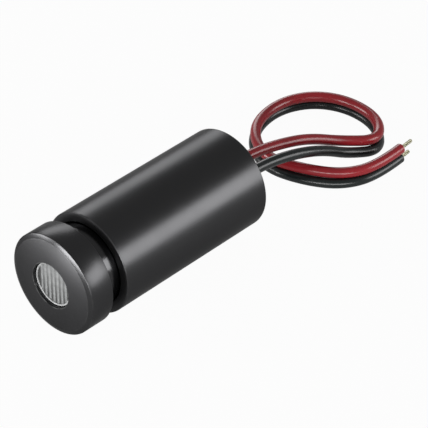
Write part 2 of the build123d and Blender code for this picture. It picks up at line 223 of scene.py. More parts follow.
class LaserColours(PropertyGroup):
    """Colours of the finishes, as they are written in the materials"""

    anodised: FloatVectorProperty(
        name="Anodised black",
        description="Colour of the dyed oxide on the turned aluminium",
        default=(0.064, 0.064, 0.066),
        subtype="COLOR",
        min=0.0,
        max=1.0,
    )
    red_jacket: FloatVectorProperty(
        name="Red insulation",
        description="Colour of the red lead",
        default=(0.238, 0.009, 0.014),
        subtype="COLOR",
        min=0.0,
        max=1.0,
    )
    black_jacket: FloatVectorProperty(
        name="Black insulation",
        description="Colour of the black lead",
        default=(0.004, 0.007, 0.007),
        subtype="COLOR",
        min=0.0,
        max=1.0,
    )
    tinned: FloatVectorProperty(
        name="Tinned strands",
        description="Colour of the stripped and tinned strands",
        default=(0.40, 0.39, 0.28),
        subtype="COLOR",
        min=0.0,
        max=1.0,
    )
    floor: FloatVectorProperty(
        name="Floor",
        description="Colour of the bench under the module",
        default=(0.58, 0.58, 0.58),
        subtype="COLOR",
        min=0.0,
        max=1.0,
    )


class LaserStudio(PropertyGroup):
    """Light and camera of the stage"""

    key_power: FloatProperty(
        name="Key power",
        description="Power of the low soft box in front, at the right",
        default=0.78,
        unit="POWER",
    )
    front_power: FloatProperty(
        name="Front power",
        description="Power of the low soft box straight in front of the lens end",
        default=0.80,
        unit="POWER",
    )
    left_power: FloatProperty(
        name="Left power",
        description="Power of the soft box in front, at the left",
        default=0.47,
        unit="POWER",
    )
    side_power: FloatProperty(
        name="Side power",
        description="Power of the soft box at the right, behind the module",
        default=0.47,
        unit="POWER",
    )
    rim_power: FloatProperty(
        name="Rim power",
        description="Power of the soft box at the left, behind the module",
        default=0.29,
        unit="POWER",
    )
    world_strength: FloatProperty(
        name="World strength",
        description="Brightness of the room round the stage",
        default=0.29,
    )
    focal_length: FloatProperty(
        name="Focal length",
        description="Focal length of the camera in millimetres on a 36 mm sensor",
        default=193.2,
    )


# Meshes


def finish_mesh(bm, name, sharp_degrees=24.0):
    """A mesh object at the origin from a bmesh, its normals outward and its creases sharp."""
    bmesh.ops.recalc_face_normals(bm, faces=bm.faces)
    mesh = bpy.data.meshes.new(name)
    bm.to_mesh(mesh)
    bm.free()
    for face in mesh.polygons:
        face.use_smooth = True
    mesh.set_sharp_from_angle(angle=math.radians(sharp_degrees))
    piece = bpy.data.objects.new(name, mesh)
    bpy.context.scene.collection.objects.link(piece)
    return piece


def turned(outline, steps, ring=True):
    """A closed shell turned round the Y axis from (radius, place) points in metres, a ring or a disc."""
    bm = bmesh.new()
    corners = [bm.verts.new((radius, place, 0.0)) for radius, place in outline]
    after = corners[1:] + corners[:1] if ring else corners[1:]
    edges = [bm.edges.new(pair) for pair in zip(corners, after)]
    bmesh.ops.spin(
        bm,
        geom=corners + edges,
        cent=(0, 0, 0),
        axis=(0, 1, 0),
        dvec=(0, 0, 0),
        angle=2 * math.pi,
        steps=steps,
        use_merge=True,
    )
    bmesh.ops.remove_doubles(bm, verts=bm.verts, dist=1e-8)
    return bm


def round_ring(bm, radius, place, width, segments=2):
    """Bevels the ring edge of a turned shell at that radius and place."""
    near = 2e-6
    ring = []
    for edge in bm.edges:
        on_it = True
        for vert in edge.verts:
            off = abs(math.hypot(vert.co.x, vert.co.z) - radius) + abs(vert.co.y - place)
            on_it = on_it and off < near
        if on_it:
            ring.append(edge)
    if not ring:
        raise RuntimeError(f"no ring edge at radius {radius} and place {place}")
    bmesh.ops.bevel(
        bm,
        geom=ring,
        offset=width,
        offset_type="OFFSET",
        segments=segments,
        profile=0.5,
        affect="EDGES",
        material=-1,
        clamp_overlap=True,
    )


def weigh_normals(piece):
    """Keeps the broad faces of a bevelled piece flat and lets its bevels take the shading."""
    weigh = piece.modifiers.new("weighted_normals", "WEIGHTED_NORMAL")
    weigh.mode = "FACE_AREA"
    weigh.weight = 70
    weigh.keep_sharp = True


# Node helpers


def new_material(name):
    """An empty node material, its tree and its Principled shader."""
    material = bpy.data.materials.new(name)
    material.use_nodes = True
    tree = material.node_tree
    shader = tree.nodes["Principled BSDF"]
    return material, tree, shader


def new_group(name, inputs, outputs):
    """A shader node group with value and vector sockets."""
    group = bpy.data.node_groups.new(name, "ShaderNodeTree")
    kinds = {
        "value": "NodeSocketFloat",
        "vector": "NodeSocketVector",
    }
    for label, kind, default in inputs:
        socket = group.interface.new_socket(label, in_out="INPUT", socket_type=kinds[kind])
        if default is not None:
            socket.default_value = default
    for label, kind in outputs:
        group.interface.new_socket(label, in_out="OUTPUT", socket_type=kinds[kind])
    return group, group.nodes.new("NodeGroupInput"), group.nodes.new("NodeGroupOutput")


def feed(tree, value, socket):
    """Links another node's socket to this one, or sets this one's value."""
    if hasattr(value, "is_linked"):
        tree.links.new(value, socket)
    else:
        socket.default_value = value


def math_node(tree, operation, first, second=None, clamp=False):
    """One Math node, its inputs linked or set."""
    node = tree.nodes.new("ShaderNodeMath")
    node.operation = operation
    node.use_clamp = clamp
    feed(tree, first, node.inputs[0])
    if second is not None:
        feed(tree, second, node.inputs[1])
    return node.outputs[0]


def vector_math(tree, operation, first, second=None):
    """One Vector Math node, its inputs linked or set."""
    node = tree.nodes.new("ShaderNodeVectorMath")
    node.operation = operation
    feed(tree, first, node.inputs[0])
    if second is not None:
        feed(tree, second, node.inputs["Scale" if operation == "SCALE" else 1])
    return node.outputs["Vector"]


def separated(tree, vector):
    """The X, Y and Z sockets of a vector."""
    node = tree.nodes.new("ShaderNodeSeparateXYZ")
    tree.links.new(vector, node.inputs[0])
    return node.outputs


def diagonal(tree, first, second):
    """The length of a diagonal from its two sides."""
    first_square = math_node(tree, "MULTIPLY", first, first)
    second_square = math_node(tree, "MULTIPLY", second, second)
    return math_node(tree, "SQRT", math_node(tree, "ADD", first_square, second_square))


def from_axis(tree, place):
    """The distance of a separated place from the Y axis."""
    return diagonal(tree, place["X"], place["Z"])


def ramp(tree, value, low, high, out_low=0.0, out_high=1.0):
    """A value mapped from one range to another and kept inside it."""
    node = tree.nodes.new("ShaderNodeMapRange")
    node.clamp = True
    tree.links.new(value, node.inputs["Value"])
    node.inputs["From Min"].default_value = low
    node.inputs["From Max"].default_value = high
    node.inputs["To Min"].default_value = out_low
    node.inputs["To Max"].default_value = out_high
    return node.outputs["Result"]


def blend(tree, factor, first, second, kind="MIX"):
    """A colour mixed from two, each written as red, green and blue or taken from a socket."""
    node = tree.nodes.new("ShaderNodeMix")
    node.data_type = "RGBA"
    node.blend_type = kind
    tree.links.new(factor, node.inputs["Factor"])
    for label, colour in (("A", first), ("B", second)):
        value = colour if hasattr(colour, "is_linked") else (*colour, 1.0)
        feed(tree, value, node.inputs[label])
    return node.outputs["Result"]


def shaded(colour, share, lift=0.0):
    """A written colour made darker or lighter by a share."""
    return [min(1.0, part * share + lift) for part in colour]


def object_point(tree):
    """Object coordinates, in metres."""
    return tree.nodes.new("ShaderNodeTexCoord").outputs["Object"]


def noise(tree, point, scale, detail=2.0, distortion=0.0):
    """Noise over the object, its scale a number or a socket."""
    node = tree.nodes.new("ShaderNodeTexNoise")
    node.inputs["Detail"].default_value = detail
    node.inputs["Distortion"].default_value = distortion
    tree.links.new(point, node.inputs["Vector"])
    feed(tree, scale, node.inputs["Scale"])
    return node.outputs["Fac"]


def noise_along(tree, walk, detail, roughness=0.5):
    """Noise along one line."""
    node = tree.nodes.new("ShaderNodeTexNoise")
    node.noise_dimensions = "1D"
    node.inputs["Scale"].default_value = 1.0
    node.inputs["Detail"].default_value = detail
    node.inputs["Roughness"].default_value = roughness
    tree.links.new(walk, node.inputs["W"])
    return node.outputs["Fac"]


def dress(tree, shader, colour, roughness):
    """Feeds the shader its base colour and its roughness."""
    tree.links.new(colour, shader.inputs["Base Color"])
    tree.links.new(roughness, shader.inputs["Roughness"])


def relief(tree, shader, height, strength, distance, normal=None):
    """Feeds the shader a fine relief, laid over a normal where one is given."""
    bump = tree.nodes.new("ShaderNodeBump")
    bump.inputs["Strength"].default_value = strength
    bump.inputs["Distance"].default_value = distance
    tree.links.new(height, bump.inputs["Height"])
    if normal is not None:
        tree.links.new(normal, bump.inputs["Normal"])
    tree.links.new(bump.outputs["Normal"], shader.inputs["Normal"])


def place_group(tree, group):
    """One use of a node group."""
    node = tree.nodes.new("ShaderNodeGroup")
    node.node_tree = group
    return node


# Finishes


def turning_marks_group():
    """Fine tool marks: rings along the axis on walls and rings across the radius on faces."""
    name = "turning_marks"
    if name in bpy.data.node_groups:
        return bpy.data.node_groups[name]
    group, start, end = new_group(
        name,
        [("Point", "vector", None), ("Across", "value", 0.0), ("Fineness", "value", 30000.0)],
        [("Height", "value"), ("Streak", "value")],
    )
    streak_share = 0.13
    place = separated(group, start.outputs["Point"])
    across = start.outputs["Across"]
    on_wall = math_node(group, "MULTIPLY", math_node(group, "SUBTRACT", 1.0, across), place["Y"])
    on_face = math_node(group, "MULTIPLY", across, from_axis(group, place))
    walk = math_node(group, "ADD", on_wall, on_face)
    fine = math_node(group, "MULTIPLY", walk, start.outputs["Fineness"])
    broad = math_node(group, "MULTIPLY", fine, streak_share)
    group.links.new(noise_along(group, fine, detail=3.0, roughness=0.65), end.inputs["Height"])
    group.links.new(noise_along(group, broad, detail=2.0), end.inputs["Streak"])
    return group


def handling_group():
    """Soft smudges that change how rough a surface looks."""
    name = "handling"
    if name in bpy.data.node_groups:
        return bpy.data.node_groups[name]
    group, start, end = new_group(
        name,
        [("Point", "vector", None), ("Smudge Scale", "value", 350.0)],
        [("Smudge", "value")],
    )
    scale = start.outputs["Smudge Scale"]
    smudge = noise(group, start.outputs["Point"], scale, detail=3.0, distortion=0.6)
    group.links.new(smudge, end.inputs["Smudge"])
    return group


def smudges(tree, point, scale):
    """The smudges of the handling group, at one scale."""
    handling = place_group(tree, handling_group())
    tree.links.new(point, handling.inputs["Point"])
    handling.inputs["Smudge Scale"].default_value = scale
    return handling.outputs["Smudge"]


def rim_wear_and_highlight_group():
    """A mask along one turned rim, broken up by noise, for worn dye and for a painted highlight."""
    name = "rim_wear"
    if name in bpy.data.node_groups:
        return bpy.data.node_groups[name]
    group, start, end = new_group(
        name,
        [
            ("Point", "vector", None),
            ("Radius", "value", 4.5 * MM),
            ("Place", "value", 0.0),
            ("Width", "value", 0.06 * MM),
        ],
        [("Wear And Highlight", "value")],
    )
    point = start.outputs["Point"]
    place = separated(group, point)
    off_radius = math_node(group, "SUBTRACT", from_axis(group, place), start.outputs["Radius"])
    off_place = math_node(group, "SUBTRACT", place["Y"], start.outputs["Place"])
    away = diagonal(group, off_radius, off_place)
    share = math_node(group, "DIVIDE", away, start.outputs["Width"])
    near = math_node(group, "SUBTRACT", 1.0, share, clamp=True)
    patchy = ramp(group, noise(group, point, scale=1400.0, detail=4.0), 0.42, 0.62)
    group.links.new(math_node(group, "MULTIPLY", near, patchy), end.inputs["Wear And Highlight"])
    return group


def worn_and_highlit_rims(tree, point, rims):
    """One mask of all rims, with worn dye and painted highlights, each given by its radius, place, width and
    strength.
    """
    worn = None
    for radius, place, width, strength in rims:
        rim = place_group(tree, rim_wear_and_highlight_group())
        tree.links.new(point, rim.inputs["Point"])
        rim.inputs["Radius"].default_value = radius
        rim.inputs["Place"].default_value = place
        rim.inputs["Width"].default_value = width
        mask = math_node(tree, "MULTIPLY", rim.outputs["Wear And Highlight"], strength)
        worn = mask if worn is None else math_node(tree, "MAXIMUM", worn, mask)
    return worn


def leaned_normal(tree, point, normal, mask, lean):
    """The normal leaned away from the Y axis by a share of its length where the mask is on."""
    across = vector_math(tree, "MULTIPLY", point, (1.0, 0.0, 1.0))
    turn = tree.nodes.new("ShaderNodeVectorTransform")
    turn.vector_type = "VECTOR"
    turn.convert_from = "OBJECT"
    turn.convert_to = "WORLD"
    tree.links.new(vector_math(tree, "NORMALIZE", across), turn.inputs[0])
    share = math_node(tree, "MULTIPLY", mask, lean)
    push = vector_math(tree, "SCALE", turn.outputs[0], share)
    return vector_math(tree, "NORMALIZE", vector_math(tree, "ADD", normal, push))


def anodised_material(name, colour, rims, neck_radius, lean=0.0):
    """Turned aluminium under black dyed oxide: tool marks, smudges, worn rims and a painted highlight on a
    rim of full strength.

    The turned face shows the light as its saw-toothed marks do, which lean outward by that much.
    """
    wear_and_highlight_grey = (0.30, 0.30, 0.30)
    roughness = 0.29
    face_roughness = 0.45
    bevel_share = 0.10
    polish = 0.12
    material, tree, shader = new_material(name)
    point = object_point(tree)
    normal = tree.nodes.new("ShaderNodeNewGeometry").outputs["Normal"]
    end_on = math_node(tree, "ABSOLUTE", separated(tree, normal)["Y"])
    wall = ramp(tree, end_on, 0.3, 0.6, 1.0, 0.0)
    face = ramp(tree, end_on, 0.94, 0.98)
    past_wall = ramp(tree, end_on, 0.80, 0.88)
    short_of_face = ramp(tree, end_on, 0.94, 0.97, 1.0, 0.0)
    bevel = math_node(tree, "MULTIPLY", past_wall, short_of_face)
    reach = from_axis(tree, separated(tree, point))
    on_neck = ramp(tree, reach, neck_radius, neck_radius + 0.1 * MM, 1.0, 0.0)
    neck = math_node(tree, "MULTIPLY", wall, on_neck)
    marks = place_group(tree, turning_marks_group())
    tree.links.new(point, marks.inputs["Point"])
    tree.links.new(ramp(tree, end_on, 0.6, 0.8), marks.inputs["Across"])
    marks.inputs["Fineness"].default_value = 26000.0
    smudge = smudges(tree, point, scale=350.0)
    rough = ramp(tree, smudge, 0.35, 0.7, roughness - 0.01, roughness + 0.02)
    rough = math_node(tree, "ADD", rough, ramp(tree, marks.outputs["Streak"], 0.3, 0.7, -0.006, 0.006))
    duller = math_node(tree, "MULTIPLY", face, face_roughness - roughness)
    rough = math_node(tree, "ADD", rough, duller)
    polished = math_node(tree, "MAXIMUM", math_node(tree, "MULTIPLY", bevel, bevel_share), neck)
    rough = math_node(tree, "SUBTRACT", rough, math_node(tree, "MULTIPLY", polished, polish))
    # Rims turn pale grey: worn dye, and at full strength a painted highlight
    dress(tree, shader, blend(tree, worn_and_highlit_rims(tree, point, rims), colour, wear_and_highlight_grey), rough)
    leaned = leaned_normal(tree, point, normal, face, lean) if lean else None
    relief(tree, shader, marks.outputs["Height"], strength=0.12, distance=0.0008 * MM, normal=leaned)
    shader.inputs["Metallic"].default_value = 1.0
    shader.inputs["Specular Tint"].default_value = (0.6, 0.6, 0.6, 1.0)
    return material


def jacket_material(name, colour):
    """Soft extruded insulation with a faint grain, a satin skin and a little colour drift."""
    material, tree, shader = new_material(name)
    point = object_point(tree)
    drift = ramp(tree, noise(tree, point, scale=260.0), 0.35, 0.65)
    tone = blend(tree, drift, shaded(colour, 0.88), shaded(colour, 1.12, lift=0.002))
    rough = ramp(tree, smudges(tree, point, scale=700.0), 0.3, 0.7, 0.23, 0.29)
    dress(tree, shader, tone, rough)
    grain = noise(tree, point, scale=5200.0, detail=3.0)
    relief(tree, shader, grain, strength=0.05, distance=0.004 * MM)
    shader.inputs["IOR"].default_value = 1.50
    return material


def metal_material(name, colour, roughness, grain, tarnish):
    """Bare or plated metal with a fine grain and a little tarnish."""
    material, tree, shader = new_material(name)
    point = object_point(tree)
    smudge = smudges(tree, point, scale=900.0)
    tarnished = shaded(colour, 1 - 2.5 * tarnish)
    tone = blend(tree, ramp(tree, smudge, 0.4, 0.75), colour, tarnished)
    rough = ramp(tree, smudge, 0.3, 0.7, roughness - 0.05, roughness + 0.08)
    dress(tree, shader, tone, rough)
    relief(tree, shader, noise(tree, point, grain), strength=0.25, distance=0.004 * MM)
    shader.inputs["Metallic"].default_value = 1.0
    return material


def matt_material(name, colour, roughness, grain, depth=0.01 * MM):
    """Moulded, fired or laminated matter with a fine grain and a little colour drift."""
    material, tree, shader = new_material(name)
    speckle = noise(tree, object_point(tree), grain, detail=3.0)
    tone = blend(tree, speckle, shaded(colour, 0.85), shaded(colour, 1.15))
    rough = ramp(tree, speckle, 0.3, 0.7, roughness - 0.06, roughness + 0.06)
    dress(tree, shader, tone, rough)
    relief(tree, shader, speckle, strength=0.4, distance=depth)
    return material


def glass_material(name, colour, roughness, clearness, ior):
    """Clear moulded plastic or glass with faint flow marks."""
    material, tree, shader = new_material(name)
    flow = noise(tree, object_point(tree), scale=1800.0)
    tone = blend(tree, flow, shaded(colour, 0.94), colour)
    dress(tree, shader, tone, ramp(tree, flow, 0.3, 0.7, roughness, roughness + 0.04))
    relief(tree, shader, flow, strength=0.1, distance=0.004 * MM)
    shader.inputs["IOR"].default_value = ior
    shader.inputs["Transmission Weight"].default_value = clearness
    return material


def ribbed_material(name, pitch, rim_inside):
    """Milky clear plastic with painted light in its colour: painted shade darker towards the bottom and
    beside the ribs, painted highlight lines on the ribs and a painted highlight on the rim.
    """
    # Painted shade and painted light of the lens, then its painted highlights on the rib lines and on the
    # rim
    painted_shade_low = (0.051, 0.052, 0.051)
    painted_light_high = (0.195, 0.199, 0.199)
    painted_rib_highlight = (0.33, 0.336, 0.336)
    painted_rim_highlight = (0.40, 0.405, 0.405)
    cloud = (0.78, 0.78, 0.78)
    half_height = 1.2 * MM
    material, tree, shader = new_material(name)
    point = object_point(tree)
    place = separated(tree, point)
    beside = math_node(tree, "ABSOLUTE", place["X"])
    # Beside the ribs the lens keeps the darkest painted shade
    ribbed = ramp(tree, beside, 3.1 * pitch, 3.3 * pitch, 1.0, 0.0)
    off_line = math_node(tree, "PINGPONG", math_node(tree, "DIVIDE", place["X"], pitch), 0.5)
    # Painted highlight lines, one in each rib pitch
    line = math_node(tree, "MULTIPLY", ramp(tree, off_line, 0.10, 0.36, 1.0, 0.0), ribbed)
    # Painted light that grows towards the top of the ribs
    painted_light_share = math_node(tree, "MULTIPLY", ramp(tree, place["Z"], -half_height, half_height), ribbed)
    # Painted highlight on the rounded rim
    rim = ramp(tree, from_axis(tree, place), rim_inside - 0.01 * MM, rim_inside + 0.02 * MM)
    flow = noise(tree, point, scale=2500.0)
    tone = blend(tree, painted_light_share, painted_shade_low, painted_light_high)
    tone = blend(tree, line, tone, painted_rib_highlight)
    tone = blend(tree, rim, tone, painted_rim_highlight)
    tone = blend(tree, ramp(tree, flow, 0.35, 0.65), tone, cloud, "MULTIPLY")
    dress(tree, shader, tone, ramp(tree, flow, 0.3, 0.7, 0.14, 0.22))
    relief(tree, shader, flow, strength=0.1, distance=0.004 * MM)
    shader.inputs["IOR"].default_value = 1.49
    shader.inputs["Transmission Weight"].default_value = 0.15
    return material


def give(piece, material):
    """Puts one material on a piece or CAD node in place of what it had."""
    piece.data.materials.clear()
    piece.data.materials.append(material)


def give_nodes(material, *names):
    """Gives one material to the CAD nodes of these names."""
    for name in names:
        give(NODES[name], material)


def lead_curve(name, points, diameter):
    """A lead as one smooth line through its route."""
    curve = bpy.data.curves.new(name, "CURVE")
    curve.dimensions = "3D"
    curve.bevel_depth = diameter / 2
    curve.bevel_resolution = 14
    curve.resolution_u = 14
    curve.use_fill_caps = True
    spline = curve.splines.new("NURBS")
    spline.points.add(len(points) - 1)
    for control, place in zip(spline.points, points):
        control.co = (*place, 1.0)
    spline.order_u = 3
    spline.use_endpoint_u = True
    lead = bpy.data.objects.new(name, curve)
    bpy.context.scene.collection.objects.link(lead)
    return lead


def measured_length(lead):
    """Length of a lead's own line, in metres."""
    plain = lead.data.copy()
    plain.bevel_depth = 0.0
    bare = bpy.data.objects.new("measuring_line", plain)
    line = bpy.data.meshes.new_from_object(bare)
    total = 0.0
    for edge in line.edges:
        first, second = (line.vertices[number].co for number in edge.vertices)
        total += (first - second).length
    bpy.data.objects.remove(bare)
    bpy.data.curves.remove(plain)
    bpy.data.meshes.remove(line)
    return total


def strands(name, route, length, strand):
    """A stripped end: one straight strand with six laid round it, tinned together."""
    outer = 6
    sides = 10
    steps = 36
    inside = 0.4 * MM
    last = Vector(route[-1])
    run = (last - Vector(route[-2])).normalized()
    total = length + inside
    bm = bmesh.new()
    for number in range(outer + 1):
        offset = (CORE_DIAMETER - strand) / 2 if number else 0.0
        made = bmesh.ops.create_circle(bm, cap_ends=True, segments=sides, radius=strand / 2)
        verts = made["verts"]
        bmesh.ops.translate(bm, verts=verts, vec=(offset, 0, 0))
        turn = Matrix.Rotation(number * 2 * math.pi / outer, 3, "Z")
        bmesh.ops.rotate(bm, verts=verts, cent=(0, 0, 0), matrix=turn)
        cap = [face for face in bm.faces if all(vert in verts for vert in face.verts)]
        rim = [edge for edge in bm.edges if all(vert in verts for vert in edge.verts)]
        bmesh.ops.spin(
            bm,
            geom=cap + rim + verts,
            cent=(0, 0, 0),
            axis=(0, 0, 1),
            dvec=(0, 0, total / steps),
            angle=total / LAY_LENGTH * 2 * math.pi,
            steps=steps,
            use_merge=False,
        )
    bmesh.ops.remove_doubles(bm, verts=bm.verts, dist=1e-8)
    aim = run.to_track_quat("Z", "Y").to_matrix().to_4x4()
    place = Matrix.Translation(last - run * inside) @ aim
    bmesh.ops.transform(bm, matrix=place, verts=bm.verts)
    return finish_mesh(bm, name, sharp_degrees=50.0)


# Operators


class LASER_OT_camera(Operator):
    """Sets the camera at the photograph's angle"""

    bl_idname = "laser_module.camera"
    bl_label = "Camera"

    def execute(self, context):
        data = bpy.data.cameras.new("camera")
        data.sensor_fit = "HORIZONTAL"
        data.sensor_width = 36.0
        data.lens = context.scene.laser_studio.focal_length
        data.clip_start = 0.01
        data.clip_end = 20.0
        data.dof.use_dof = False
        camera = bpy.data.objects.new("camera", data)
        context.scene.collection.objects.link(camera)
        azimuth = math.radians(CAMERA_AZIMUTH)
        elevation = math.radians(CAMERA_ELEVATION)
        level = math.cos(elevation)
        back = Vector((math.sin(azimuth) * level, -math.cos(azimuth) * level, math.sin(elevation)))
        right = Vector((math.cos(azimuth), math.sin(azimuth), 0.0))
        up = back.cross(right)
        turn = Matrix((right, up, back)).transposed().to_4x4()
        camera.matrix_world = Matrix.Translation(CAMERA_PLACE) @ turn
        context.scene.camera = camera
        return {"FINISHED"}


class LASER_OT_leads(Operator):
    """Lays the red and the black lead along their routes"""

    bl_idname = "laser_module.leads"
    bl_label = "Leads"

    def execute(self, context):
        sizes = context.scene.laser_sizes
        colours = context.scene.laser_colours
        red_tip = strands("red_tip_strands", RED_ROUTE, RED_STRIPPED, sizes.strand_diameter)
        black_tip = strands("black_tip_strands", BLACK_ROUTE, BLACK_STRIPPED, sizes.strand_diameter)
        tinned = metal_material("tinned_strands", colours.tinned, roughness=0.3, grain=40000.0, tarnish=0.04)
        red_skin = jacket_material("red_insulation", colours.red_jacket)
        black_skin = jacket_material("black_insulation", colours.black_jacket)
        for name, route, tip, skin, node in (
            ("red_lead_skin", RED_ROUTE, red_tip, red_skin, "red_lead"),
            ("black_lead_skin", BLACK_ROUTE, black_tip, black_skin, "black_lead"),
        ):
            lead = lead_curve(name, route, sizes.lead_diameter)
            give(lead, skin)
            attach(lead, "module")
            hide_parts(node)
            give(tip, tinned)
            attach(tip, "module")
            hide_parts(node + "_tip")
            measured_length(lead)
        return {"FINISHED"}


class LASER_OT_barrel(Operator):
    """Turns the housing"""

    bl_idname = "laser_module.barrel"
    bl_label = "Barrel"

    def execute(self, context):
        sizes = context.scene.laser_sizes
        outside = sizes.barrel_radius
        front = HOUSING_LOW.y
        rear = HOUSING_HIGH.y
        counterbore = sizes.neck_radius + 0.05 * MM
        thread_bore = 3.5 * MM
        rear_bore = 3.8 * MM
        shoulder = front + 2.4 * MM
        seat = rear - 9.8 * MM
        bm = turned(
            [
                (counterbore, front),
                (outside, front),
                (outside, rear),
                (rear_bore, rear),
                (rear_bore, seat),
                (thread_bore, seat),
                (thread_bore, shoulder),
                (counterbore, shoulder),
            ],
            sizes.turning_steps,
        )
        round_ring(bm, counterbore, front, width=0.08 * MM)
        round_ring(bm, outside, front, width=0.10 * MM, segments=3)
        round_ring(bm, outside, rear, width=0.10 * MM, segments=3)
        round_ring(bm, rear_bore, rear, width=0.10 * MM)
        barrel = finish_mesh(bm, "barrel_shell")
        weigh_normals(barrel)
        # Radius, place, width and strength of the wear on each rim
        rims = [
            (outside, front, 0.14 * MM, FAINT_WEAR),
            (outside, rear, 0.14 * MM, FAINT_WEAR),
            (counterbore, front, 0.12 * MM, FAINT_WEAR),
            (rear_bore, rear, 0.12 * MM, FAINT_WEAR),
        ]
        black = context.scene.laser_colours.anodised
        give(barrel, anodised_material("barrel_anodised", black, rims, sizes.neck_radius))
        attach(barrel, "module")
        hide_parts("housing")
        return {"FINISHED"}


class LASER_OT_focusing_head(Operator):
    """Turns the focusing head with its crowned face, neck and screw shank"""

    bl_idname = "laser_module.focusing_head"
    bl_label = "Focusing head"

    def execute(self, context):
        sizes = context.scene.laser_sizes
        outside = sizes.barrel_radius
        neck = sizes.neck_radius
        shank = 3.45 * MM
        lens_pocket = 2.5 * MM
        collimator_pocket = 2.8 * MM
        opening = sizes.aperture_radius
        bevelled = outside - 0.42 * MM
        crown = HEAD_LOW.y
        face_rim = crown + 0.12 * MM
        corner = face_rim + 0.18 * MM
        cap_back = corner + 2.22 * MM
        neck_end = HOUSING_LOW.y + 0.5 * MM
        lip = crown + HEAD_LIP
        pocket_end = lip + 4.32 * MM
        shank_end = HEAD_HIGH.y
        bm = turned(
            [
                (opening, crown),
                (bevelled, face_rim),
                (outside, corner),
                (outside, cap_back),
                (neck, cap_back),
                (neck, neck_end),
                (shank, neck_end),
                (shank, shank_end),
                (collimator_pocket, shank_end),
                (collimator_pocket, pocket_end),
                (lens_pocket, pocket_end),
                (lens_pocket, lip),
                (opening, lip),
            ],
            sizes.turning_steps,
        )
        round_ring(bm, opening, crown, width=0.07 * MM)
        round_ring(bm, bevelled, face_rim, width=0.04 * MM)
        round_ring(bm, outside, corner, width=0.06 * MM, segments=3)
        round_ring(bm, outside, cap_back, width=0.06 * MM)
        head = finish_mesh(bm, "head_shell")
        weigh_normals(head)
        # Radius, place, width and strength of the wear on each rim; on the opening the pale rim is a painted
        # highlight
        rims = [
            (bevelled, face_rim, 0.08 * MM, FAINT_WEAR),
            (outside, corner, 0.10 * MM, FAINT_WEAR),
            (outside, cap_back, 0.10 * MM, FAINT_WEAR),
            # The opening's pale rim is a painted highlight
            (opening, crown, 0.09 * MM, PAINTED_HIGHLIGHT_RIM),
        ]
        black = context.scene.laser_colours.anodised
        give(head, anodised_material("head_anodised", black, rims, neck, lean=0.32))
        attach(head, "focusing_head")
        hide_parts("focus_head")
        return {"FINISHED"}


class LASER_OT_line_lens(Operator):
    """Moulds the line lens: flange, boss with a rounded rim, and upright half-round ribs inside it"""

    bl_idname = "laser_module.line_lens"
    bl_label = "Line lens"

    def execute(self, context):
        sizes = context.scene.laser_sizes
        flange = LENS_HIGH.x
        rim_outside = sizes.aperture_radius - 0.05 * MM
        rim_inside = rim_outside - 0.17 * MM
        rim_rounding = 0.075 * MM
        crest = LENS_LOW.y
        root = crest + 0.18 * MM
        lip_back = HEAD_LOW.y + HEAD_LIP
        back = LENS_HIGH.y
        bm = turned(
            [
                (0.0, root),
                (rim_inside, root),
                (rim_inside, crest),
                (rim_outside, crest),
                (rim_outside, lip_back),
                (flange, lip_back),
                (flange, back),
                (0.0, back),
            ],
            sizes.turning_steps,
            ring=False,
        )
        round_ring(bm, rim_inside, crest, rim_rounding, segments=4)
        round_ring(bm, rim_outside, crest, rim_rounding, segments=4)
        self.ribs(bm, sizes, rim_inside + 0.04 * MM, root)
        lens = finish_mesh(bm, "line_lens_moulding", sharp_degrees=40.0)
        give(lens, ribbed_material("line_lens_plastic", sizes.rib_pitch, rim_inside))
        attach(lens, "focusing_head")
        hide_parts("line_lens")
        return {"FINISHED"}

    def ribs(self, bm, sizes, reach, root):
        """Round-fronted bars side by side, each ending inside the rim."""
        pitch = sizes.rib_pitch
        foot = root + 0.05 * MM
        foot_share = 0.4
        arc_steps = 10
        widest = math.asin(pitch / 2 / sizes.rib_radius)
        centre = root + math.cos(widest) * sizes.rib_radius
        for number in range(sizes.rib_count):
            middle = (number - (sizes.rib_count - 1) / 2) * pitch
            outline = [(middle + foot_share * pitch, foot), (middle - foot_share * pitch, foot)]
            for step in range(arc_steps + 1):
                turn = widest * (2 * step / arc_steps - 1)
                across = middle + math.sin(turn) * sizes.rib_radius
                outline.append((across, centre - math.cos(turn) * sizes.rib_radius))
            corners = [bm.verts.new((across, place, 0.0)) for across, place in outline]
            made = bmesh.ops.extrude_face_region(bm, geom=[bm.faces.new(corners)])
            far = [item for item in made["geom"] if isinstance(item, bmesh.types.BMVert)]
            for side, verts in ((-1.0, corners), (1.0, far)):
                for vert in verts:
                    vert.co.z = side * math.sqrt(reach**2 - vert.co.x**2)


class LASER_OT_optics(Operator):
    """Gives the collimating lens, the window, the rings and the diode holder their finishes"""

    bl_idname = "laser_module.optics"
    bl_label = "Optics"

    def execute(self, context):
        clear = glass_material("lens_glass", (0.93, 0.95, 0.95), roughness=0.01, clearness=1.0, ior=1.49)
        give_nodes(clear, "collimating_lens", "diode_window")
        ring = matt_material("ring_moulding", (0.02, 0.02, 0.02), roughness=0.5, grain=4000.0)
        give_nodes(ring, "line_lens_ring")
        brass = metal_material("turned_brass", (0.72, 0.53, 0.24), roughness=0.26, grain=9000.0, tarnish=0.1)
        give_nodes(brass, "collimator_ring", "diode_holder")
        return {"FINISHED"}


class LASER_OT_focus_spring(Operator):
    """Copies the spring, which shortens as the head is screwed in"""

    bl_idname = "laser_module.focus_spring"
    bl_label = "Focus spring"

    def execute(self, context):
        node = NODES["focus_spring"]
        bm = bmesh.new()
        bm.from_mesh(node.data)
        bmesh.ops.transform(bm, matrix=node.matrix_world, verts=bm.verts)
        bmesh.ops.remove_doubles(bm, verts=bm.verts, dist=1e-7)
        spring = finish_mesh(bm, "spring_coil", sharp_degrees=40.0)
        steel = (0.55, 0.55, 0.56)
        wire = metal_material("spring_wire", steel, roughness=0.22, grain=12000.0, tarnish=0.06)
        give(spring, wire)
        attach(spring, "focus_carriage")
        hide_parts("focus_spring")
        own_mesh(spring)
        return {"FINISHED"}


